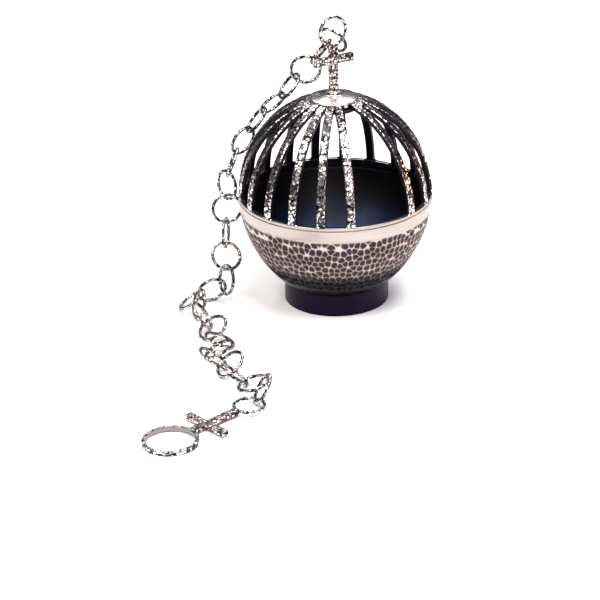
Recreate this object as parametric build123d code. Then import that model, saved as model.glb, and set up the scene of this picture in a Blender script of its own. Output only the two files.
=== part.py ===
from build123d import *
import math
import os

# Thurible censer, millimetres, +Z up, origin at the centre of the foot's underside.
# The cage's opening and the cross face -Y. Every piece is exported where it rests.
os.makedirs("parts", exist_ok=True)

# ---- driving sizes -------------------------------------------------------------
GLOBE_D = 120.0      # outer diameter of the bowl's rim
RIM_Z = 67.8         # height of the rim above the table
DOME_RISE = 65.4     # from the rim to the crown of the cage
ARC_LIFT = 5.0       # the bowl's curve is centred this far above the rim
BOWL_WALL = 1.6      # raised silver sheet of the bowl
FLAT_R = 21.46       # flat of the bowl's bottom, hidden in the foot
BAND_H = 8.3         # smooth band below the rim
BAND_PROUD = 0.3     # how far the band stands out of the hammered skin
LINER_WALL = 0.8     # black inner pan
SLIP = 0.05          # gap between nested, soldered or seated walls
FOOT_R = 32.22
FOOT_H = 13.45       # where the bowl's curve meets the foot's outer face
FOOT_WALL = 2.4
RIB_COUNT = 19
RIB_W = 5.0          # width of a cage bar
RIB_T = 3.1          # thickness of a cage bar
OPENING_DEG = 42.0   # angle between the two bars beside the opening
BASE_RING_H = 2.0
SPIGOT_H = 3.0       # part of the base ring that drops into the bowl
CAP_R = 15.18
CAP_PROUD = 1.0      # how far the cap's top stands above the bars
CAP_WALL = 1.0
COLLAR_H = 1.7       # collar round the hole of the cap
HOOP_H = 2.2         # hoop under the bars' ends
CROSS_T = 3.2        # thickness of the top cross
CROSS_W = 5.7        # width of its post
CROSS_H = 28.2       # height of its post
BAR_L = 27.0         # length of its cross-bar
BAR_H = 5.0          # height of its cross-bar
BAR_DROP = 9.0       # from the top of the post to the middle of the cross-bar
NECK_R = 2.4         # round neck under the cross
NECK_PLAY = 0.08     # radial running clearance of the neck
NUT_H = 2.4
WIRE_D = 2.2         # wire of the links and rings
PLAY = 0.3           # free play between two linked wires
HAND_T = 2.8         # thickness of the hand cross and finger ring
HAND_W = 5.1         # width of the hand cross's stem
HAND_BAR_L = 32.4    # length of its cross-bar
LEG = 23.4           # from the eye ring to the middle of that cross-bar
TAIL = 10.8          # from there to the finger ring
FINGER_R = 14.0      # bore of the finger ring
FINGER_WALL = 2.3

# ---- sizes that follow ---------------------------------------------------------
R = GLOBE_D / 2
DOME_TOP = RIM_Z + DOME_RISE
CROWN_Z = DOME_TOP + CAP_PROUD         # top of the cap, at its middle
POST_FOOT = CROWN_Z + COLLAR_H + 0.7
HEAD_Z = POST_FOOT + CROSS_H           # top of the cross
BAR_Z = HEAD_Z - BAR_DROP
HALF_CROSS = CROSS_T / 2


def save(part, name):
    part.label = name
    export_step(part, f"parts/{name}.step")


def revolved(section):
    return revolve(section, axis=Axis.Z, revolution_arc=360)


def box_section(r0, r1, z0, z1):
    """Rectangle in the XZ plane between two radii and two heights."""
    return Plane.XZ * Pos((r0 + r1) / 2, (z0 + z1) / 2) * Rectangle(r1 - r0, z1 - z0)


# ---- bowl ----------------------------------------------------------------------
# The bowl's side is one arc from the rim to the top of the foot, centred above the
# rim, so it starts almost upright and curves in under the globe. The bottom is flat.
ARC_Z = RIM_Z + ARC_LIFT
ARC_X = (R**2 - FOOT_R**2 + ARC_LIFT**2 - (ARC_Z - FOOT_H) ** 2) / (2 * (R - FOOT_R))
ARC_R = math.hypot(R - ARC_X, ARC_Z - RIM_Z)


def bowl_section(inset, bottom, top):
    """Everything inside the bowl's curve, drawn in by inset, between two heights."""
    disc = Plane.XZ * Pos(ARC_X, ARC_Z) * Circle(ARC_R - inset)
    return disc & box_section(0, 2 * R, bottom, top)


def bowl_radius(inset, z):
    return ARC_X + math.sqrt((ARC_R - inset) ** 2 - (z - ARC_Z) ** 2)


def bowl_height(inset, r):
    return ARC_Z - math.sqrt((ARC_R - inset) ** 2 - (r - ARC_X) ** 2)


band_z = RIM_Z - BAND_H
bottom_z = bowl_height(0, FLAT_R)
inner_floor = bottom_z + BOWL_WALL
outside = bowl_section(0, band_z, RIM_Z) + bowl_section(BAND_PROUD, bottom_z, band_z)
shell = outside - bowl_section(BOWL_WALL, inner_floor, RIM_Z)
save(revolved(shell), "bowl_shell")

liner_top = RIM_Z - SPIGOT_H - 0.5
liner = bowl_section(BOWL_WALL + SLIP, inner_floor, liner_top) - bowl_section(
    BOWL_WALL + SLIP + LINER_WALL, inner_floor + LINER_WALL, liner_top
)
save(revolved(liner), "bowl_liner")

foot = box_section(FOOT_R - FOOT_WALL, FOOT_R, 0, bowl_height(BAND_PROUD, FOOT_R))
foot = foot - bowl_section(BAND_PROUD, bottom_z, band_z)
foot_ring = revolved(foot)
lowest = foot_ring.edges().filter_by(GeomType.CIRCLE).group_by(Axis.Z)[0]
save(chamfer(lowest, 0.5), "foot_ring")

# ---- cage ----------------------------------------------------------------------
spigot_r = bowl_radius(BOWL_WALL, RIM_Z - SPIGOT_H) - SLIP
ring_r = R - RIB_T
base_ring = box_section(ring_r, R - 0.3, RIM_Z, RIM_Z + BASE_RING_H)
base_ring = base_ring + box_section(ring_r, spigot_r, RIM_Z - SPIGOT_H, RIM_Z)
save(revolved(base_ring), "cage_base_ring")


def dome_section(inset):
    """The cage's upright half-ellipse, drawn in by inset."""
    whole = Ellipse(R - inset, DOME_RISE - inset)
    return Plane.XZ * Pos(0, RIM_Z) * whole


def dome_height(inset, r):
    return RIM_Z + (DOME_RISE - inset) * math.sqrt(1 - (r / (R - inset)) ** 2)


# A bar is a slice of the dome's wall. Seen from above it is as wide all along, up to
# where it would touch the next one. From there it narrows under the cap.
rib_step = (360 - OPENING_DEG) / (RIB_COUNT - 1)
rib_end = 0.8 * CAP_R
touch_r = (RIB_W / 2 + SLIP) / math.radians(rib_step / 2)
tip_half = (rib_end - 1) * math.radians(rib_step / 2) - SLIP
curve = (dome_section(0) - dome_section(RIB_T)) & box_section(
    rib_end, R, RIM_Z + BASE_RING_H, DOME_TOP
)
slab = extrude(curve, RIB_W, both=True)
plan = Polyline(
    (rib_end - 1, -tip_half), (touch_r, -RIB_W / 2), (R + 1, -RIB_W / 2),
    (R + 1, RIB_W / 2), (touch_r, RIB_W / 2), (rib_end - 1, tip_half), close=True,
)
rib = slab & extrude(make_face(plan), DOME_TOP + 10)
for i in range(RIB_COUNT):
    turn = -90 + OPENING_DEG / 2 + i * rib_step
    save(Rot(0, 0, turn) * rib, f"rib_{i + 1:02d}")

crown_top = dome_height(RIB_T, CAP_R)
save(revolved(box_section(0.7 * CAP_R, CAP_R, crown_top - HOOP_H, crown_top)), "crown_ring")

# The cap is a shallow polished dish turned over: its rim sits on the bars.
cap_rim = dome_height(0, CAP_R) + SLIP
cap_rise = CROWN_Z - CAP_WALL - cap_rim
cap_ball = (CAP_R**2 + cap_rise**2) / (2 * cap_rise)
ball_z = cap_rim + cap_rise - cap_ball
cap = (Plane.XZ * Pos(0, ball_z) * Circle(cap_ball + CAP_WALL)) & box_section(
    0, CAP_R, cap_rim, CROWN_Z
)
cap = cap - Plane.XZ * Pos(0, ball_z) * Circle(cap_ball)
cap = cap + box_section(0, 1.8 * NECK_R, CROWN_Z - CAP_WALL, CROWN_Z + COLLAR_H)
cap = cap - box_section(-1, NECK_R + NECK_PLAY, RIM_Z, HEAD_Z)
save(revolved(cap), "cap_dish")

# ---- top cross, its neck and its ring ------------------------------------------
NUT_R = 2 * NECK_R
nut_top = ball_z + math.sqrt(cap_ball**2 - NUT_R**2) - 0.1   # clear of the cap's curve
neck = box_section(0, NECK_R, nut_top - NUT_H - 1.0, POST_FOOT)
neck = neck + box_section(0, 1.5 * NECK_R, CROWN_Z + COLLAR_H + 0.1, POST_FOOT)
save(revolved(neck), "cross_neck")
nut = extrude(RegularPolygon(NUT_R, 6), NUT_H) - extrude(Circle(NECK_R), NUT_H)
save(Pos(0, 0, nut_top - NUT_H) * nut, "neck_nut")


def bar(x0, x1, y0, y1, z0, z1):
    mid = ((x0 + x1) / 2, (y0 + y1) / 2, (z0 + z1) / 2)
    return Pos(*mid) * Box(x1 - x0, y1 - y0, z1 - z0)


# ---- the chain's layout --------------------------------------------------------
# The chain is laid out in a frame turned about the globe from the cage's opening.
# LAY gives, for each link, the compass heading and the slope of the line from the
# link before to its middle, and the roll of the ring about that line.
LAY_TURN = -30.0
FIRST_HOOK = 39.0              # where link_01 hooks the cross ring, from its lowest point
LAY = [
    (140, -8, -27), (151, -47, 73), (170, -54, -14), (170, -47, 74),
    (173, -47, -61), (-179, -50, -94), (-163, -60, -32), (-144, -62, -56),
    (-115, -86, -64), (-112, -82, 55), (-92, -61, -15), (-90, -48, 71),
    (-111, -75, -50), (-157, 3, -23), (-127, -18, -62), (-68, 8, -16),
    (-91, -1, 35), (-43, 7, -58), (-76, 0, 69), (-90, 2, -63),
    (-107, 16, 59), (-27, 26, -61), (-85, 10, 51), (-28, 13, -82),
    (-70, 21, -33),
]
HAND_HEADING = 215.0           # heading from the last link to the eye ring
HAND_LINE = 223.0              # heading from the eye ring to the finger ring
HAND_SLOPE = 1.5               # how far the handle leans down to the finger ring
RING_SINK = 0.2                # the cross ring's wire is bedded in the cross's head


def heading(angle, slope):
    a, s = math.radians(angle), math.radians(slope)
    return Vector(math.cos(a) * math.cos(s), math.sin(a) * math.cos(s), math.sin(s))


def rolled(along, roll):
    """Axis of a ring whose plane holds along, turned by roll about it."""
    side = Vector(0, 0, 1).cross(along).normalized()
    up = along.cross(side)
    r = math.radians(roll)
    return side * math.cos(r) + up * math.sin(r)


def lay_chain(pitch):
    """Middles, ring axes, hinge points and hinge axes, down to the eye ring."""
    ring_r = (pitch + PLAY + WIRE_D) / 2
    hang = ring_r - WIRE_D - PLAY      # from the parent's wire to the child's middle
    runs = [(heading(a, s), rolled(heading(a, s), r)) for a, s, r in LAY]
    runs.append((heading(HAND_HEADING, 0), heading(HAND_LINE, 90 - HAND_SLOPE)))
    # the cross ring stands in the cross's own plane, so its pull is given, not found
    middle = Vector(0, 0, HEAD_Z + ring_r + RING_SINK)
    axis = heading(-90 - LAY_TURN, 0)
    hook = math.radians(FIRST_HOOK)
    pull = heading(-LAY_TURN, 0) * math.sin(hook) - Vector(0, 0, math.cos(hook))
    places = []
    for along, face in runs:
        if places:
            middle, axis = places[-1][:2]
            pull = (along - axis * along.dot(axis)).normalized()
        pin = middle + pull * ring_r
        places.append((pin + along * hang, face, pin, axis.cross(pull)))
    return places


def laid_out(eye_z):
    """The chain at the pitch that brings the eye ring down to this height."""
    pitch = HEAD_Z / 10.8
    for _ in range(20):
        over = lay_chain(pitch)[-1][0].Z - eye_z
        if abs(over) < 1e-6:
            break
        pitch += over / 11.0
    return pitch, lay_chain(pitch)


# The handle leans on its finger ring's far edge; its eye end rides on the last link.
EYE_OUT = 9.0         # size of the eye ring, near enough for the handle's lean
FINGER_OUT = FINGER_R + FINGER_WALL
slope = math.radians(HAND_SLOPE)
reach = EYE_OUT + LEG + TAIL + 2 * FINGER_OUT
eye_z = HAND_T / 2 * math.cos(slope) + reach * math.sin(slope)

PITCH, PLACES = laid_out(eye_z)
RING_R = (PITCH + PLAY + WIRE_D) / 2   # to the middle of the wire
ring = Torus(RING_R, WIRE_D / 2)


def ring_at(middle, axis):
    return Plane(origin=middle, z_dir=axis) * ring


# ---- top cross -----------------------------------------------------------------
top_middle = Vector(0, 0, HEAD_Z + RING_R + RING_SINK)
cross_ring = ring_at(top_middle, Vector(0, -1, 0))
cross = bar(-CROSS_W / 2, CROSS_W / 2, -HALF_CROSS, HALF_CROSS, POST_FOOT, HEAD_Z)
cross += bar(
    -BAR_L / 2, BAR_L / 2, -HALF_CROSS, HALF_CROSS, BAR_Z - BAR_H / 2, BAR_Z + BAR_H / 2
)
cross = chamfer(cross.edges().filter_by(Axis.Y), 0.4) - cross_ring
save(cross, "top_cross")
save(cross_ring, "cross_ring")

# ---- chain ---------------------------------------------------------------------
for i, (middle, axis, pin, pin_axis) in enumerate(PLACES[:-1]):
    save(Rot(0, 0, LAY_TURN) * ring_at(middle, axis), f"link_{i + 1:02d}")

# ---- handle: eye ring, hand cross and finger ring, one soldered piece ------------
# It is drawn lying along +X with the eye ring's middle at the origin.
bar_x = RING_R + LEG
finger_x = bar_x + TAIL + FINGER_OUT - 0.5
half_t, half_w = HAND_T / 2, HAND_W / 2
hand = bar(RING_R, finger_x - FINGER_R - 1, -half_w, half_w, -half_t, half_t)
hand += bar(
    bar_x - BAR_H / 2, bar_x + BAR_H / 2, -HAND_BAR_L / 2, HAND_BAR_L / 2, -half_t, half_t
)
hand = chamfer(hand.edges().filter_by(Axis.Z), 0.4) - ring
hand -= Pos(finger_x, 0, -half_t) * extrude(Circle(FINGER_OUT), HAND_T)
finger = extrude(Circle(FINGER_OUT) - Circle(FINGER_R), HAND_T)
finger = chamfer(finger.edges().filter_by(GeomType.CIRCLE), 0.3)
finger = Pos(finger_x, 0, -half_t) * finger
eye_at, eye_axis = PLACES[-1][:2]
laid = Rot(0, 0, LAY_TURN) * Location(
    Plane(origin=eye_at, x_dir=heading(HAND_LINE, -HAND_SLOPE), z_dir=eye_axis)
)
save(laid * ring, "eye_ring")
save(laid * hand, "hand_cross")
save(laid * finger, "finger_ring")
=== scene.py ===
import math
import random

import bpy
import numpy as np
from mathutils import Matrix, Vector, kdtree, noise


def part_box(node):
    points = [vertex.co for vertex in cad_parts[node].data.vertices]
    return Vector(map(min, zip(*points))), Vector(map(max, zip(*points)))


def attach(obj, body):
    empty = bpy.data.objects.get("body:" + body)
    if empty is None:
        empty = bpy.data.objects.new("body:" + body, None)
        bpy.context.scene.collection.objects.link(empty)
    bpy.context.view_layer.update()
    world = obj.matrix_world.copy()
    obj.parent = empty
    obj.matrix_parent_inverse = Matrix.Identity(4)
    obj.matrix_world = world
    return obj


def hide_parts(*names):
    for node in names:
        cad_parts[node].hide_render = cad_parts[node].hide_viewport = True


# A thurible censer: a hammered silver bowl with a globe cage of hammered bars, a
# polished cap, a cross, and a chain of hammered rings with a finger ring at its end.
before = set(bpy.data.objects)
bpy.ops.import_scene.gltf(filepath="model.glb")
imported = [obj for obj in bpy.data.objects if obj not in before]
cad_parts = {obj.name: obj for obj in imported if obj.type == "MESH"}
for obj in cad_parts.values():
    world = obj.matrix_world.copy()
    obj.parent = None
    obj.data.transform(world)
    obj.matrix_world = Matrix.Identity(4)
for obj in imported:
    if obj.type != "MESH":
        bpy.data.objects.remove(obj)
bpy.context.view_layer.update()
MM = 0.001


# ---- colours and nodes -----------------------------------------------------------
def linear(code):
    """An sRGB hex colour as linear RGBA."""
    parts = [int(code[i:i + 2], 16) / 255 for i in (1, 3, 5)]
    return [c / 12.92 if c <= 0.04045 else ((c + 0.055) / 1.055) ** 2.4 for c in parts] + [1]


def add(tree, kind, links=None, **settings):
    """Adds a node. Settings go to its inputs by name, or to the node itself."""
    n = tree.nodes.new("ShaderNode" + kind)
    for key, value in settings.items():
        name = key.replace("_", " ")
        if name in n.inputs:
            n.inputs[name].default_value = value
        else:
            setattr(n, key, value)
    for key, source in (links or {}).items():
        tree.links.new(source, n.inputs[key])
    return n


def new_material(name):
    m = bpy.data.materials.new(name)
    m.use_nodes = True
    m.node_tree.nodes.clear()
    return m, m.node_tree


def ramp(tree, source, stops):
    n = add(tree, "ValToRGB", {"Fac": source})
    band = n.color_ramp
    while len(band.elements) < len(stops):
        band.elements.new(0.5)
    for element, (place, code) in zip(band.elements, stops):
        element.position = place
        element.color = linear(code)
    return n.outputs["Color"]


def finish_with(tree, links, **settings):
    shader = add(tree, "BsdfPrincipled", links, **settings)
    add(tree, "OutputMaterial", {"Surface": shader.outputs["BSDF"]})


def spread(tree, source, low, high):
    """Carries a 0 to 1 value into low to high."""
    n = add(tree, "MapRange", {"Value": source}, To_Min=low, To_Max=high)
    return n.outputs["Result"]


def grain(tree, size_mm, detail=3.0, stretch=(1, 1, 1)):
    """Soft blotches of about this size, in millimetres."""
    place = add(tree, "TexCoord").outputs["Object"]
    scaled = add(tree, "Mapping", {"Vector": place}, Scale=stretch)
    return add(
        tree, "TexNoise", {"Vector": scaled.outputs["Vector"]},
        Scale=1000 / size_mm, Detail=detail,
    ).outputs["Fac"]


def relief(tree, height, depth_mm):
    return add(
        tree, "Bump", {"Height": height}, Strength=1.0, Distance=depth_mm * MM
    ).outputs["Normal"]


def wear_and_glint(tree):
    """How rubbed the plate is at each point, 0 in a hollow and 1 on a ridge; on the struck bars,
    wire and crosses it also holds a painted glint per hammer mark.
    """
    return add(tree, "Attribute", attribute_name="wear_and_glint").outputs["Fac"]


def hammered_bowl_plate():
    """Silver plate, raised and planished with a ball hammer, then blackened and rubbed
    back: grey-violet hollows, warm pale ridges, and painted shade that darkens it towards the foot."""
    m, t = new_material("hammered_oxidised_silver_plate")
    ridge = wear_and_glint(t)
    tone = ramp(
        t, ridge, [(0.0, "#3f3339"), (0.35, "#5d4f52"), (0.75, "#a5958d"), (1.0, "#c9bcb2")]
    )
    stain = grain(t, 14.0)
    stained = add(t, "Mix", {"A": tone, "B": tone}, data_type="RGBA", blend_type="MULTIPLY")
    t.links.new(spread(t, stain, 0.0, 0.35), stained.inputs["Factor"])
    # painted shade: from 37 mm down to 27 mm the plate fades to near black (#0c080f), and stays
    # near black down to the foot
    height = add(t, "SeparateXYZ", {"Vector": add(t, "TexCoord").outputs["Object"]}).outputs["Z"]
    low = add(t, "MapRange", {"Value": height}, From_Min=27 * MM, From_Max=37 * MM)
    low.interpolation_type = "SMOOTHSTEP"
    painted_shade_mix = add(t, "Mix", {"Factor": low.outputs["Result"], "B": stained.outputs["Result"]},
                data_type="RGBA")
    painted_shade_mix.inputs["A"].default_value = linear("#0c080f")
    fine = grain(t, 0.5, 2.0)
    finish_with(
        t,
        {"Base Color": painted_shade_mix.outputs["Result"], "Roughness": spread(t, ridge, 0.46, 0.3),
         "Normal": relief(t, fine, 0.012)},
        Metallic=1.0,
    )
    return m


def satin_band_plate():
    """Silver plate rubbed round with fine steel wool: a soft champagne glow with
    faint lines that run round the rim."""
    m, t = new_material("satin_silver_plate")
    lines = grain(t, 3.0, 4.0, (0.12, 0.12, 14.0))
    tone = ramp(t, lines, [(0.3, "#a49b94"), (0.7, "#b9b0a8")])
    finish_with(
        t, {"Base Color": tone, "Roughness": spread(t, lines, 0.26, 0.38),
            "Normal": relief(t, lines, 0.01)},
        Metallic=1.0,
    )
    return m


def hammered_bar_plate(name, light, middle, dark):
    """Silver plate struck with a small flat hammer: bright facets that catch the
    light one by one, each also given a painted glint that makes it lighter or darker,
    with dark lines left in the seams between them."""
    m, t = new_material(name)
    facet = wear_and_glint(t)
    tone = ramp(t, facet, [(0.0, dark), (0.35, middle), (0.8, light), (1.0, light)])
    fine = grain(t, 0.6, 2.0)
    finish_with(
        t, {"Base Color": tone, "Roughness": spread(t, facet, 0.45, 0.2),
            "Normal": relief(t, fine, 0.005)},
        Metallic=1.0,
    )
    return m


def blackened_plate():
    """Liver-of-sulphur black on silver, never rubbed back: almost black with a
    little grey sheen, on the sides and the inner faces of the bars."""
    m, t = new_material("blackened_silver_plate")
    cloud = grain(t, 5.0)
    tone = ramp(t, cloud, [(0.3, "#131218"), (0.7, "#24222b")])
    finish_with(t, {"Base Color": tone, "Roughness": spread(t, cloud, 0.34, 0.5)}, Metallic=0.6)
    return m


def polished_plate():
    """Mirror-polished silver plate: crisp reflections with a few hairlines."""
    m, t = new_material("polished_silver_plate")
    cloud = grain(t, 7.0)
    tone = ramp(t, cloud, [(0.3, "#d3cbc6"), (0.7, "#e2dcd6")])
    hair = grain(t, 0.8, 2.0, (1, 4, 1))
    finish_with(
        t, {"Base Color": tone, "Roughness": spread(t, cloud, 0.2, 0.3),
            "Normal": relief(t, hair, 0.006)},
        Metallic=1.0,
    )
    return m


def lacquered_foot():
    """Spun metal under dark blue-black satin lacquer: a soft wide sheen."""
    m, t = new_material("blue_black_satin_lacquer")
    cloud = grain(t, 9.0)
    tone = ramp(t, cloud, [(0.3, "#0a0614"), (0.7, "#120c22")])
    orange_peel = grain(t, 1.1, 2.0)
    finish_with(
        t, {"Base Color": tone, "Roughness": spread(t, cloud, 0.34, 0.46),
            "Normal": relief(t, orange_peel, 0.01)},
        Metallic=0.0, Specular_IOR_Level=0.2, Specular_Tint=linear("#a58fd8"),
    )
    return m


def enamelled_pan():
    """Heat-proof blue-black enamel on thin steel: deep black with a navy bloom
    where the light falls on it, and painted shade that darkens it to near black towards the rim."""
    m, t = new_material("blue_black_heat_proof_enamel")
    cloud = grain(t, 12.0)
    navy = ramp(t, cloud, [(0.3, "#0c1630"), (0.7, "#1a2f5c")])
    # painted shade: from 28 mm up to 50 mm the inside fades from navy to near black (#020206)
    # towards the rim
    height = add(t, "SeparateXYZ", {"Vector": add(t, "TexCoord").outputs["Object"]}).outputs["Z"]
    painted_rim_shade = add(t, "MapRange", {"Value": height}, From_Min=28 * MM, From_Max=50 * MM)
    painted_rim_shade.interpolation_type = "SMOOTHSTEP"
    painted_shade_mix = add(t, "Mix", {"Factor": painted_rim_shade.outputs["Result"], "A": navy}, data_type="RGBA")
    painted_shade_mix.inputs["B"].default_value = linear("#020206")
    tone = painted_shade_mix.outputs["Result"]
    grit = grain(t, 0.7, 2.0)
    finish_with(
        t, {"Base Color": tone, "Roughness": spread(t, cloud, 0.4, 0.55),
            "Normal": relief(t, grit, 0.02)},
        Metallic=0.3,
    )
    return m


BOWL = hammered_bowl_plate()
BAND = satin_band_plate()
BAR = hammered_bar_plate("hammered_silver_bars", "#f6f1ec", "#5a5356", "#0a080b")
WIRE = hammered_bar_plate("hammered_silver_wire", "#e6dfda", "#4b4346", "#0a080b")
CROSS = hammered_bar_plate("hammered_silver_cross", "#e0d4cc", "#574a4d", "#0e0a0d")
BLACK = blackened_plate()
POLISHED = polished_plate()
FOOT = lacquered_foot()
PAN = enamelled_pan()


# ---- mesh helpers ----------------------------------------------------------------
def make_piece(name, points, faces, skins, body, stands_for, marks=None, rub_and_glint=None):
    """A mesh from points in metres. marks gives each face's material, rub each point's
    wear, with the painted glint on the struck pieces."""
    mesh = bpy.data.meshes.new(name)
    mesh.from_pydata([tuple(p) for p in points], [], faces)
    for s in skins:
        mesh.materials.append(s)
    if marks is not None:
        mesh.polygons.foreach_set("material_index", np.array(marks, np.int32))
    if rub_and_glint is not None:
        layer = mesh.attributes.new("wear_and_glint", "FLOAT", "POINT")
        layer.data.foreach_set("value", np.array(rub_and_glint, np.float32))
    mesh.validate()
    mesh.update()
    for p in mesh.polygons:
        p.use_smooth = True
    mesh.set_sharp_from_angle(angle=math.radians(50))
    obj = bpy.data.objects.new(name, mesh)
    bpy.context.scene.collection.objects.link(obj)
    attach(obj, body)
    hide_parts(*stands_for)
    return obj


def grid_faces(rows, columns, wrap_rows, wrap_columns):
    """Quads of a grid of points, row by row."""
    faces = []
    for i in range(rows if wrap_rows else rows - 1):
        for j in range(columns if wrap_columns else columns - 1):
            a, b = i * columns + j, i * columns + (j + 1) % columns
            c, d = (i + 1) % rows * columns + (j + 1) % columns, (i + 1) % rows * columns + j
            faces.append((a, b, c, d))
    return faces


def soft_corners(corners, radius, steps=4):
    """A closed outline with each corner rounded."""
    out = []
    n = len(corners)
    for i in range(n):
        p, q, r = (Vector(corners[(i + k) % n]) for k in (-1, 0, 1))
        u, v = p - q, r - q
        cut = min(radius, 0.45 * u.length, 0.45 * v.length)
        a, b = q + u.normalized() * cut, q + v.normalized() * cut
        for k in range(steps + 1):
            f = k / steps
            out.append(a * (1 - f) ** 2 + q * 2 * f * (1 - f) + b * f ** 2)
    return [(p.x, p.y) for p in out]


def lathe(outline, turns):
    """Points, in metres, and faces of a closed outline in radius and height turned
    about the upright axis."""
    outline = np.array(outline)
    angle = np.linspace(0, 2 * math.pi, turns, endpoint=False)
    r = outline[:, 0][:, None]
    points = np.stack(
        [r * np.cos(angle), r * np.sin(angle), outline[:, 1][:, None] + 0 * angle], axis=-1
    )
    return points.reshape(-1, 3) * MM, grid_faces(len(outline), turns, True, True)


def smooth(low, high, x):
    t = np.clip((x - low) / (high - low), 0, 1)
    return t * t * (3 - 2 * t)


def facets(points, size, seed):
    """Hammer marks at points in millimetres: each mark is a small flat tilted its own
    way, and each carries a painted glint that makes some marks lighter, others darker.
    Gives the height at each point, about -1 to 1, and the wear times the glint, 0 in a seam."""
    shift = Vector((seed * 7.31, seed * 3.17, seed * 5.83))
    height, wear, painted_glint = [], [], []
    for p in points:
        q = Vector(p) / size + shift
        near, cells = noise.voronoi(q, distance_metric="DISTANCE", exponent=2.5)
        own = noise.cell_vector(cells[0] * 7.3)
        tilt = own * 2 - Vector((1, 1, 1))
        height.append((q - cells[0]).dot(tilt) * 1.1 + near[0] ** 2 * 0.8 - 0.3)
        # painted glint: some marks painted bright and others dark, standing in for marks that catch
        # the light and marks that miss it
        painted_glint.append(0.3 + 0.7 * min(1.0, 2.2 * own.z))
        wear.append(near[1] - near[0])
    return np.array(height), smooth(0.03, 0.3, np.array(wear)) * np.array(painted_glint)


# size of one hammer mark on each kind of piece, in mm
BAR_MARK = 2.1
WIRE_MARK = 1.6
CROSS_MARK = 1.9

# ---- sizes read from the frame ---------------------------------------------------
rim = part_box("bowl_shell")
R = rim[1].x / MM
RIM_Z = rim[1].z / MM
BOTTOM = rim[0].z / MM
FOOT_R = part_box("foot_ring")[1].x / MM
FOOT_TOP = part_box("foot_ring")[1].z / MM
BASE_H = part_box("cage_base_ring")[1].z / MM - RIM_Z
CAP_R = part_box("cap_dish")[1].x / MM
ARC_X, ARC_Z = -0.28 * R, RIM_Z + 0.083 * R
ARC_R = math.hypot(R - ARC_X, ARC_Z - RIM_Z)


def bowl_r(z, inset=0.0):
    return ARC_X + math.sqrt((ARC_R - inset) ** 2 - (z - ARC_Z) ** 2)


# ---- bowl ------------------------------------------------------------------------
BAND_H = 8.6        # smooth band below the rim
MARK = 4.1          # spacing of the ball-hammer marks round the bowl
MARK_DEEP = 0.7
MARK_END = 22.5     # height above the table where the marks stop
WALL = 1.6


def hammer_marks():
    """Middles of the ball-hammer marks: rows down the bowl, so no two
    are quite the same distance apart."""
    rng = random.Random(4)
    top = math.asin((ARC_Z - (RIM_Z - BAND_H)) / ARC_R)
    middles = []
    step = 1.14 * MARK / ARC_R
    a = top + 0.42 * step
    row = 0
    while True:
        z = ARC_Z - ARC_R * math.sin(a)
        if z < MARK_END:
            break
        r = ARC_X + ARC_R * math.cos(a)
        count = round(2 * math.pi * r / (MARK * 0.9))
        for k in range(count):
            turn = 2 * math.pi * (k + 0.5 * (row % 2) + rng.uniform(-0.26, 0.26)) / count
            b = a + rng.uniform(-0.7 if row == 0 else -0.3, 0.3) * step
            rr = ARC_X + ARC_R * math.cos(b)
            middles.append((rr * math.cos(turn), rr * math.sin(turn), ARC_Z - ARC_R * math.sin(b)))
        a += step
        row += 1
    return middles


def build_bowl():
    marks = hammer_marks()
    tree = kdtree.KDTree(len(marks))
    for i, p in enumerate(marks):
        tree.insert(p, i)
    tree.balance()
    rng = random.Random(8)
    size = [rng.uniform(0.84, 1.12) for _ in marks]
    turns, rows = 800, 126
    a0 = math.asin((ARC_Z - RIM_Z) / ARC_R)
    a1 = math.asin((ARC_Z - BOTTOM) / ARC_R)
    angle = np.linspace(0, 2 * math.pi, turns, endpoint=False)
    points, rub_and_glint = [], []
    lip = [(R - WALL, RIM_Z), (R - 0.5, RIM_Z), (R - 0.15, RIM_Z - 0.1)]
    for r, z in lip:
        points += [(r * math.cos(t), r * math.sin(t), z) for t in angle]
        rub_and_glint += [1.0] * turns
    for i in range(rows):
        a = a0 + (a1 - a0) * (i + 0.8) / (rows - 0.2)
        r, z = ARC_X + ARC_R * math.cos(a), ARC_Z - ARC_R * math.sin(a)
        out = (math.cos(a), -math.sin(a))
        for t in angle:
            deep, ridge = 0.0, 1.0
            if MARK_END - 3 < z < RIM_Z - BAND_H + 2.6:
                p = Vector((r * math.cos(t), r * math.sin(t), z))
                (_, n1, f1), (_, _, f2) = tree.find_n(p, 2)
                share = f1 / (f1 + f2)
                reach = f1 / (MARK * 0.5 * size[n1])
                ridge = max(float(smooth(0.37, 0.5, share)), float(smooth(1.0, 1.6, reach)))
                ridge = max(ridge, float(smooth(RIM_Z - BAND_H - 1.8, RIM_Z - BAND_H + 2.4, z)))
                deep = MARK_DEEP * (1 - ridge) * (0.72 + 0.28 * math.cos(min(1, reach) * 1.5))
            rr, zz = r - deep * out[0], z - deep * out[1]
            points.append((rr * math.cos(t), rr * math.sin(t), zz))
            rub_and_glint.append(ridge)
    # the flat bottom and the inside close the sheet
    for r, z in [(4, BOTTOM), (4, BOTTOM + WALL)] + [
        (bowl_r(z, WALL), z) for z in np.linspace(BOTTOM + WALL, RIM_Z - 1, 14)
    ]:
        points += [(r * math.cos(t), r * math.sin(t), z) for t in angle]
        rub_and_glint += [0.6] * turns
    levels = len(points) // turns
    faces = grid_faces(levels, turns, True, True)
    slopes = [a0 + (a1 - a0) * (i + 0.8) / (rows - 0.2) for i in range(rows)]
    band_end = RIM_Z - BAND_H + 0.6
    band_rows = len(lip) + sum(1 for a in slopes if ARC_Z - ARC_R * math.sin(a) > band_end)
    marks = [1 if i // turns < band_rows else 0 for i in range(len(faces))]
    faces.append(tuple(range((3 + rows) * turns, (4 + rows) * turns)))
    marks.append(0)
    return make_piece(
        "bowl", np.array(points) * MM, faces, [BOWL, BAND], "censer", ["bowl_shell"],
        marks, rub_and_glint,
    )


build_bowl()

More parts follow.
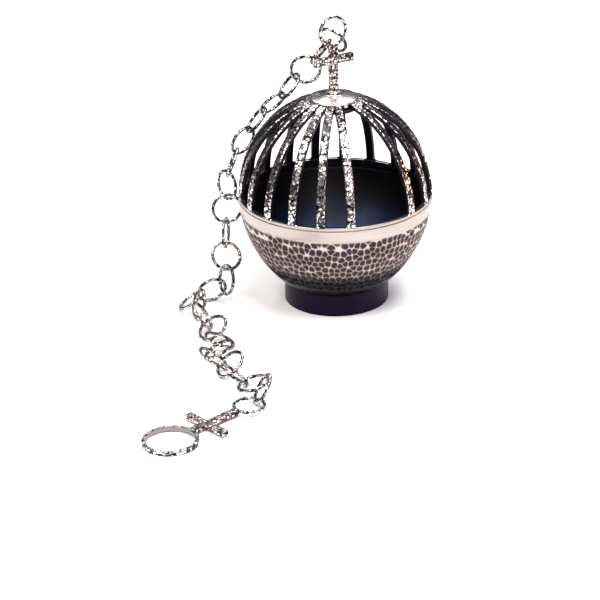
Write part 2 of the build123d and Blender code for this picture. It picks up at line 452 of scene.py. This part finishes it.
# ---- pan, foot, base ring, crown hoop and cap --------------------------------------
LINER = 0.8
pan_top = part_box("bowl_liner")[1].z / MM
pan_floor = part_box("bowl_liner")[0].z / MM
inside = WALL + 0.05 + LINER
pan = [(0.01, pan_floor + LINER)]
pan += [(bowl_r(z, inside), z) for z in np.linspace(pan_floor + LINER, pan_top - 0.3, 40)]
pan += [(bowl_r(pan_top, inside) + 0.25, pan_top), (bowl_r(pan_top, inside - LINER) - 0.1, pan_top)]
pan += [(bowl_r(z, inside - LINER), z) for z in np.linspace(pan_top, pan_floor, 20)]
pan += [(0.01, pan_floor)]
points, faces = lathe(pan, 192)
make_piece("pan", points, faces, [PAN], "censer", ["bowl_liner"])

FOOT_WALL = 2.4
foot_outline = soft_corners(
    [(FOOT_R, 0.0), (FOOT_R, FOOT_TOP - 0.4), (FOOT_R - 0.5, FOOT_TOP - 0.1),
     (FOOT_R - FOOT_WALL, FOOT_TOP - 2.2), (FOOT_R - FOOT_WALL, 0.0)], 0.6
)
points, faces = lathe(foot_outline, 192)
make_piece("foot", points, faces, [FOOT], "censer", ["foot_ring"])

ring_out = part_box("cage_base_ring")[1].x / MM
ring_in = R - 3.1
base_outline = soft_corners(
    [(ring_in, RIM_Z - 3), (ring_in, RIM_Z + BASE_H), (ring_out, RIM_Z + BASE_H),
     (ring_out, RIM_Z), (ring_out - 1.6, RIM_Z), (ring_out - 1.75, RIM_Z - 3)], 0.45, 3
)
points, faces = lathe(base_outline, 256)
# rubbed bright on its outer face and its inner top edge, left black elsewhere
marks = []
for f in faces:
    x, y, z = np.mean([points[k] for k in f], axis=0) / MM
    r = math.hypot(x, y)
    inner_edge = z > RIM_Z + BASE_H - 0.3 and r < ring_in + 0.35
    marks.append(0 if r > ring_out - 0.55 or inner_edge else 1)
make_piece(
    "cage_base", points, faces, [BAND, BLACK], "censer", ["cage_base_ring"], marks
)

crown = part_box("crown_ring")
c_out, c_lo, c_hi = crown[1].x / MM, crown[0].z / MM, crown[1].z / MM
c_in = 0.7 * c_out
hoop_outline = soft_corners([(c_in, c_lo), (c_in, c_hi), (c_out, c_hi), (c_out, c_lo)], 0.4, 3)
points, faces = lathe(hoop_outline, 96)
make_piece("crown_hoop", points, faces, [BLACK], "censer", ["crown_ring"])

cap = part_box("cap_dish")
cap_lo, cap_hi = cap[0].z / MM, cap[1].z / MM
collar_h = 1.7
crown_z = cap_hi - collar_h
CAP_WALL = 1.0
rise = crown_z - CAP_WALL - cap_lo
ball = (CAP_R ** 2 + rise ** 2) / (2 * rise)
ball_z = cap_lo + rise - ball
NECK = 2.48
cap_outline = [(NECK, cap_hi - 0.2), (NECK + 0.3, cap_hi), (4.1, cap_hi), (4.3, cap_hi - 0.2)]
cap_outline += [(4.32, crown_z + 0.35), (4.6, crown_z + 0.02)]
for r in np.linspace(5.2, CAP_R - 0.6, 14):
    cap_outline.append((r, ball_z + math.sqrt((ball + CAP_WALL) ** 2 - r ** 2)))
edge_top = ball_z + math.sqrt((ball + CAP_WALL) ** 2 - CAP_R ** 2)
cap_outline += [(CAP_R - 0.15, edge_top - 0.1), (CAP_R, edge_top - 0.4), (CAP_R, cap_lo + 0.3),
                (CAP_R - 0.2, cap_lo)]
for r in np.linspace(CAP_R - 0.8, NECK, 12):
    cap_outline.append((r, ball_z + math.sqrt(ball ** 2 - r ** 2)))
points, faces = lathe(cap_outline, 160)
make_piece("cap", points, faces, [POLISHED], "censer", ["cap_dish"])

# ---- cage bars ---------------------------------------------------------------------
BAR_W, BAR_T = 5.0, 3.1
SPREAD = math.radians((360 - 42) / 18)      # angle between two bars
END_R = 0.8 * CAP_R
RISE = 0.545 * 2 * R


def build_bar(node, number):
    """One bent bar: hammered face out, blackened sides and back, and a small fillet
    on each side where it meets the base ring."""
    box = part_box(node)
    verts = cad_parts[node].data.vertices
    x = sum(v.co.x for v in verts)
    y = sum(v.co.y for v in verts)
    turn = math.atan2(y, x)
    z0 = box[0].z / MM
    end = math.acos(END_R / R)
    start = math.asin((z0 - RIM_Z) / RISE)
    stations, across = 180, 13
    points, outward = [], []
    for i in range(stations):
        f = i / (stations - 1)
        e = start + (end - start) * f
        r, z = R * math.cos(e), RIM_Z + RISE * math.sin(e)
        rb, zb = (R - BAR_T) * math.cos(e), RIM_Z + (RISE - BAR_T) * math.sin(e)
        zb = max(zb, z0)
        if i == 0:
            zb = z0
        w = min(BAR_W, r * SPREAD - 0.1)
        up = z - z0
        flare = 1.6 - math.sqrt(1.6 ** 2 - (1.6 - min(up, 1.6)) ** 2)
        half = w / 2 + flare
        o = Vector((r - rb, z - zb)).normalized()
        ring = []
        for k in range(across):
            s = -1 + 2 * k / (across - 1)
            drop = 0.45 * max(0, abs(s) - 0.78) ** 2 / 0.22 ** 2
            ring.append((r - drop * o.x, s * half, z - drop * o.y, True))
        ring.append((r - 0.9 * o.x, half, z - 0.9 * o.y, False))
        ring.append((rb + 0.3 * o.x, half, zb + 0.3 * o.y, False))
        ring.append((rb, half - 0.3, zb, False))
        ring.append((rb, -half + 0.3, zb, False))
        ring.append((rb + 0.3 * o.x, -half, zb + 0.3 * o.y, False))
        ring.append((r - 0.9 * o.x, -half, z - 0.9 * o.y, False))
        points += [(p[0], p[1], p[2]) for p in ring]
        outward += [o if p[3] else None for p in ring]
    columns = len(points) // stations
    height, wear = facets(points, BAR_MARK, number)
    done, rub_and_glint = [], []
    c, s = math.cos(turn), math.sin(turn)
    for i, (p, o) in enumerate(zip(points, outward)):
        h = 0.0
        if o is not None:
            h = 0.22 * min(0.4, max(-1.0, height[i])) - 0.09
        x, y, z = (p[0] + h * o.x, p[1], p[2] + h * o.y) if o is not None else p
        z = max(z, z0)
        done.append((x * c - y * s, x * s + y * c, z))
        rub_and_glint.append(wear[i] if o is not None else 0.2)
    faces = grid_faces(stations, columns, False, True)
    marks = [0 if i % columns < across - 1 else 1 for i in range(len(faces))]
    last = (stations - 1) * columns
    faces += [tuple(range(columns - 1, -1, -1)), tuple(range(last, last + columns))]
    marks += [1, 1]
    make_piece(
        "bar_" + node[-2:], np.array(done) * MM, faces, [BAR, BLACK], "censer", [node],
        marks, rub_and_glint,
    )


for number in range(1, 20):
    build_bar(f"rib_{number:02d}", number)


# ---- rings of hammered wire ----------------------------------------------------------
def ring_place(node):
    """Middle, axis, ring radius and wire radius of a round ring, from its CAD mesh, in mm."""
    co = np.array([v.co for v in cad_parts[node].data.vertices]) / MM
    first = co.mean(0)
    axis = np.linalg.svd(co - first)[2][2]
    side = np.linalg.svd(co - first)[2][0]
    other = np.cross(axis, side)
    flat = np.stack([(co - first) @ side, (co - first) @ other, (co - first) @ axis], 1)
    mid = (flat.min(0) + flat.max(0)) / 2
    middle = first + mid[0] * side + mid[1] * other + mid[2] * axis
    wire = (flat[:, 2].max() - flat[:, 2].min()) / 2
    outer = (flat[:, 0].max() - flat[:, 0].min()) / 2
    return middle, axis, side, other, outer - wire, wire


def build_ring(name, node, body, seed):
    """A ring bent from round wire and closed, then struck all over, so its section
    is never quite round."""
    middle, axis, side, other, big, small = ring_place(node)
    stations, around = 110, 16
    points, outs = [], []
    for i in range(stations):
        a = 2 * math.pi * i / stations
        out = side * math.cos(a) + other * math.sin(a)
        for k in range(around):
            b = 2 * math.pi * k / around
            n = out * math.cos(b) + axis * math.sin(b)
            # struck flat a little on both faces, on the rim and in the bore
            pressed = 0.97 if 4 * k % around == 0 else 1.0
            points.append(middle + out * big + n * small * pressed)
            outs.append(n)
    height, wear = facets(points, WIRE_MARK, seed)
    done = [p + n * small * (0.15 * min(0.3, h) - 0.03) for p, n, h in zip(points, outs, height)]
    faces = grid_faces(stations, around, True, True)
    return make_piece(
        name, np.array(done) * MM, faces, [WIRE], body, [node], None, wear
    )


links = sorted(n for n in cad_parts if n.startswith("link_"))
for number, node in enumerate(links):
    build_ring("chain_" + node, node, node, 30 + number)
build_ring("top_ring", "cross_ring", "top", 61)
build_ring("chain_eye", "eye_ring", "handle", 62)


# ---- crosses ---------------------------------------------------------------------------
def hammered_block(origin, x_dir, y_dir, z_dir, size, seed, swell=0.0):
    """Points and faces of a struck flat bar whose length lies along z_dir: every side
    is faceted, and its ends swell a little where the hammer has spread them."""
    sx, sy, sz = size
    along = max(8, int(sz / 0.45))
    outline = soft_corners(
        [(sx / 2, -sy / 2), (sx / 2, sy / 2), (-sx / 2, sy / 2), (-sx / 2, -sy / 2)], 0.45, 3
    )
    loop = []
    for i, p in enumerate(outline):
        q = outline[(i + 1) % len(outline)]
        gap = math.hypot(q[0] - p[0], q[1] - p[1])
        parts = max(1, int(gap / 0.5))
        loop += [
            (p[0] + (q[0] - p[0]) * k / parts, p[1] + (q[1] - p[1]) * k / parts)
            for k in range(parts)
        ]
    points, outs = [], []
    heights = np.linspace(-sz / 2, sz / 2, along)
    for h in heights:
        inset = 1 - 0.07 * smooth(sz / 2 - 0.5, sz / 2, abs(h))
        grow = inset * (1 + swell * float(smooth(0.25 * sz, 0.5 * sz, abs(h))))
        for px, py in loop:
            points.append(origin + x_dir * px * grow + y_dir * py * inset + z_dir * h)
            outs.append((x_dir * px / sx + y_dir * py / sy).normalized())
    height, wear = facets(points, CROSS_MARK, seed)
    done = [p + n * (0.16 * min(0.3, h) - 0.05) for p, n, h in zip(points, outs, height)]
    n = len(loop)
    faces = grid_faces(along, n, False, True)
    faces += [tuple(range(n - 1, -1, -1)), tuple(range((along - 1) * n, along * n))]
    return done, faces, list(wear)


def join(blocks):
    points, faces, rub_and_glint = [], [], []
    for p, f, w in blocks:
        shift = len(points)
        points += p
        faces += [tuple(i + shift for i in face) for face in f]
        rub_and_glint += w
    return np.array(points) * MM, faces, rub_and_glint


X, Y, Z = Vector((1, 0, 0)), Vector((0, 1, 0)), Vector((0, 0, 1))
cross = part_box("top_cross")
foot_z, head_z = cross[0].z / MM, cross[1].z / MM
bar_z = head_z - 0.15 * R
CROSS_W, CROSS_T, CROSS_BAR_H, CROSS_BAR_L = 5.7, 3.2, 5.0, cross[1].x / MM * 2
points, faces, rub_and_glint = join([
    hammered_block(
        Z * (foot_z + head_z) / 2, X, Y, Z, (CROSS_W, CROSS_T, head_z - foot_z + 0.6), 71
    ),
    hammered_block(Z * bar_z, Z, Y, X, (CROSS_BAR_H, CROSS_T + 0.1, CROSS_BAR_L), 72, 0.08),
])
make_piece("cross", points, faces, [CROSS], "top", ["top_cross"], None, rub_and_glint)

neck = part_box("cross_neck")
n_lo, n_hi = neck[0].z / MM, neck[1].z / MM
n_out, n_r = neck[1].x / MM, 2.4
shoulder = cap_hi + 0.1
neck_outline = soft_corners(
    [(0.02, n_lo), (n_r, n_lo), (n_r, shoulder), (n_out, shoulder), (n_out, n_hi), (0.02, n_hi)],
    0.2, 3,
)
points, faces = lathe(neck_outline, 64)
make_piece("cross_neck_turned", points, faces, [POLISHED], "top", ["cross_neck"])
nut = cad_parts["neck_nut"]
nut.data.materials.clear()
nut.data.materials.append(BLACK)
bevel = nut.modifiers.new("worn_edges", "BEVEL")
bevel.width = 0.2 * MM
bevel.segments = 2
bevel.limit_method = "ANGLE"

# ---- hand cross and finger ring ----------------------------------------------------------
eye_mid, up, _, _, eye_r, _ = ring_place("eye_ring")
up = Vector(up if up[2] > 0 else -up)
eye_mid = Vector(eye_mid)
finger_co = np.array([v.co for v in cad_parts["finger_ring"].data.vertices]) / MM
far = Vector(finger_co.mean(0)) - eye_mid
along = (far - up * far.dot(up)).normalized()
cross_dir = up.cross(along)
reach = (finger_co - np.array(eye_mid)) @ np.array(along)
finger_out = (reach.max() - reach.min()) / 2
finger_at = (reach.max() + reach.min()) / 2
FINGER_R, HAND_T, HAND_W = 14.0, 2.8, 5.1
bar_at = eye_r + 0.39 * R
bar_len = 0.54 * R
stem_end = finger_at - FINGER_R - 0.9
points, faces, rub_and_glint = join([
    hammered_block(
        eye_mid + along * (eye_r + 0.6 + stem_end) / 2, cross_dir, up, along,
        (HAND_W, HAND_T, stem_end - eye_r - 0.6), 81,
    ),
    hammered_block(
        eye_mid + along * bar_at, along, up, cross_dir,
        (CROSS_BAR_H, HAND_T + 0.1, bar_len), 82, 0.06,
    ),
])
make_piece(
    "hand_cross_struck", points, faces, [CROSS], "handle", ["hand_cross"],
    None, rub_and_glint,
)


def build_finger_ring():
    """A flat hoop struck on its top face and its rim, smooth where the finger goes."""
    outline = soft_corners(
        [(FINGER_R, -HAND_T / 2), (FINGER_R, HAND_T / 2), (finger_out, HAND_T / 2),
         (finger_out, -HAND_T / 2)], 0.5, 3,
    )
    fine = []
    for i, p in enumerate(outline):
        q = outline[(i + 1) % len(outline)]
        parts = max(1, int(math.hypot(q[0] - p[0], q[1] - p[1]) / 0.5))
        fine += [
            (p[0] + (q[0] - p[0]) * k / parts, p[1] + (q[1] - p[1]) * k / parts)
            for k in range(parts)
        ]
    turns = 200
    middle = eye_mid + along * finger_at
    points, outs = [], []
    for r, h in fine:
        for i in range(turns):
            a = 2 * math.pi * i / turns
            out = along * math.cos(a) + cross_dir * math.sin(a)
            points.append(middle + out * r + up * h)
            outs.append(
                out * (1 if r > FINGER_R + 1.2 else 0) + up * (0.8 if h > 0 else -0.8)
                if r > FINGER_R + 0.3 else Vector((0, 0, 0))
            )
    height, wear = facets(points, CROSS_MARK, 83)
    done = [p + n * (0.14 * min(0.3, h) - 0.05) for p, n, h in zip(points, outs, height)]
    wear = [w if n.length > 0 else 0.45 for w, n in zip(wear, outs)]
    faces = grid_faces(len(fine), turns, True, True)
    make_piece(
        "finger_ring_struck", np.array(done) * MM, faces, [WIRE], "handle", ["finger_ring"],
        None, wear,
    )


build_finger_ring()

# ---- floor, light and camera --------------------------------------------------------------
floor_mat, t = new_material("pale_paper_sweep")
tone = ramp(t, grain(t, 400.0), [(0.3, "#f3f2f0"), (0.7, "#f7f6f4")])
finish_with(t, {"Base Color": tone}, Roughness=0.85)
floor_mesh = bpy.data.meshes.new("floor")
ring = [(2.4 * math.cos(k * math.pi / 48), 2.4 * math.sin(k * math.pi / 48), 0) for k in range(96)]
floor_mesh.from_pydata(ring, [], [tuple(range(96))])
floor_mesh.materials.append(floor_mat)
floor = bpy.data.objects.new("floor", floor_mesh)
bpy.context.scene.collection.objects.link(floor)

# a dim violet-grey room in the metal, a pale backdrop to the eye
world = bpy.data.worlds.new("studio")
bpy.context.scene.world = world
world.use_nodes = True
room = world.node_tree
room.nodes.clear()
direct = add(room, "LightPath").outputs["Is Camera Ray"]
dim = add(room, "Background", Color=linear("#9a93a8"), Strength=0.1)
pale = add(room, "Background", Color=linear("#f6f5f4"), Strength=1.0)
mixed = add(room, "MixShader", {"Fac": direct})
room.links.new(dim.outputs["Background"], mixed.inputs[1])
room.links.new(pale.outputs["Background"], mixed.inputs[2])
add(room, "OutputWorld", {"Surface": mixed.outputs["Shader"]})


def softbox(name, azimuth, elevation, distance, size, power, code):
    """An area light that looks at the censer from this side."""
    a, e = math.radians(azimuth), math.radians(elevation)
    target = Vector((0, 0, 0.07))
    way = Vector((math.sin(a) * math.cos(e), -math.cos(a) * math.cos(e), math.sin(e)))
    light = bpy.data.lights.new(name, "AREA")
    light.shape = "RECTANGLE"
    light.size, light.size_y = size
    light.energy = power
    light.color = linear(code)[:3]
    obj = bpy.data.objects.new(name, light)
    bpy.context.scene.collection.objects.link(obj)
    facing = way.to_track_quat("Z", "Y").to_matrix().to_4x4()
    obj.matrix_world = Matrix.Translation(target + way * distance) @ facing


softbox("key", -78, 50, 1.3, (0.7, 0.6), 16, "#fffaf5")
softbox("top", 8, 64, 1.2, (0.8, 0.6), 22, "#f7f7ff")
softbox("front", -12, 24, 1.5, (0.35, 0.3), 3, "#fffdfa")
softbox("amber_kicker", 70, 2, 1.1, (0.3, 0.2), 1.6, "#ffb070")
softbox("back", 150, 53, 1.6, (1.2, 0.75), 20, "#fbfbff")

VIEW_AZ, VIEW_EL, ROLL = -30.0, 21.63, -0.86
DISTANCE = 1.7157
camera = bpy.data.cameras.new("camera")
camera.sensor_width = 36
camera.lens = 167.2
camera.shift_x = -0.0585
camera.shift_y = -0.1935
camera.clip_end = 20
eye = bpy.data.objects.new("camera", camera)
bpy.context.scene.collection.objects.link(eye)
a, e = math.radians(VIEW_AZ), math.radians(VIEW_EL)
way = Vector((math.sin(a) * math.cos(e), -math.cos(a) * math.cos(e), math.sin(e)))
facing = way.to_track_quat("Z", "Y").to_matrix().to_4x4()
turned = facing @ Matrix.Rotation(math.radians(ROLL), 4, "Z")
eye.matrix_world = Matrix.Translation(Vector((0, 0, 0.075)) + way * DISTANCE) @ turned
bpy.context.scene.camera = eye
bpy.context.scene.view_settings.view_transform = "Standard"
